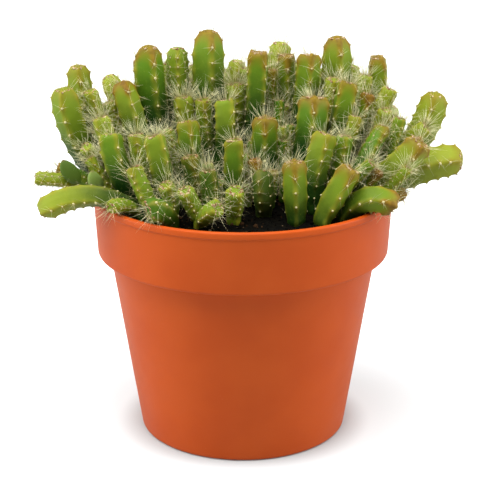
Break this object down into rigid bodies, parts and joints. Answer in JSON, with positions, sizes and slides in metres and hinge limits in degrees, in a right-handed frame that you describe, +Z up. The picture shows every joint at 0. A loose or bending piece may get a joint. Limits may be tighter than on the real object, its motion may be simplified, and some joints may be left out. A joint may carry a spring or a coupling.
{
  "type": "potted dragon fruit cactus",
  "caption": "Dense clump of young ribbed dragon fruit stems with bristles, standing in potting soil in a small round plastic nursery pot.",
  "frame": {"origin": "centre of the pot's underside, on the surface that it stands on", "axes": "+Z up along the pot's axis; the side that the picture shows faces -Y, with +X to its right"},
  "size_m": [0.1492, 0.1129, 0.1425],
  "materials": {
    "terracotta_plastic": "satin moulded plastic, terracotta orange",
    "potting_soil": "loose, damp, nearly black potting soil",
    "cactus_flesh": "waxy green flesh with pale bristles"
  },
  "bodies": {
    "root": {"pot": "terracotta_plastic", "soil": "potting_soil", "seedling": "cactus_flesh", "plant_01": "cactus_flesh", "plant_02": "cactus_flesh", "plant_03": "cactus_flesh", "plant_04": "cactus_flesh", "plant_05": "cactus_flesh", "plant_06": "cactus_flesh", "plant_07": "cactus_flesh", "plant_08": "cactus_flesh", "plant_09": "cactus_flesh", "plant_10": "cactus_flesh", "plant_11": "cactus_flesh", "plant_12": "cactus_flesh", "plant_13": "cactus_flesh", "plant_14": "cactus_flesh", "plant_15": "cactus_flesh", "plant_16": "cactus_flesh", "plant_17": "cactus_flesh", "plant_18": "cactus_flesh", "plant_19": "cactus_flesh", "plant_20": "cactus_flesh", "plant_21": "cactus_flesh", "plant_22": "cactus_flesh", "plant_23": "cactus_flesh", "plant_24": "cactus_flesh", "plant_25": "cactus_flesh", "plant_26": "cactus_flesh", "plant_27": "cactus_flesh", "plant_28": "cactus_flesh", "plant_29": "cactus_flesh", "plant_30": "cactus_flesh", "plant_31": "cactus_flesh", "plant_32": "cactus_flesh", "plant_33": "cactus_flesh", "plant_34": "cactus_flesh", "plant_35": "cactus_flesh", "plant_36": "cactus_flesh", "plant_37": "cactus_flesh", "plant_38": "cactus_flesh", "plant_39": "cactus_flesh", "plant_40": "cactus_flesh", "plant_41": "cactus_flesh", "plant_42": "cactus_flesh", "plant_43": "cactus_flesh", "plant_44": "cactus_flesh", "plant_45": "cactus_flesh", "plant_46": "cactus_flesh", "plant_47": "cactus_flesh", "plant_48": "cactus_flesh", "plant_49": "cactus_flesh", "plant_50": "cactus_flesh", "plant_51": "cactus_flesh", "plant_52": "cactus_flesh", "plant_53": "cactus_flesh", "plant_54": "cactus_flesh", "plant_55": "cactus_flesh", "plant_56": "cactus_flesh", "plant_57": "cactus_flesh"}
  },
  "joints": []
}
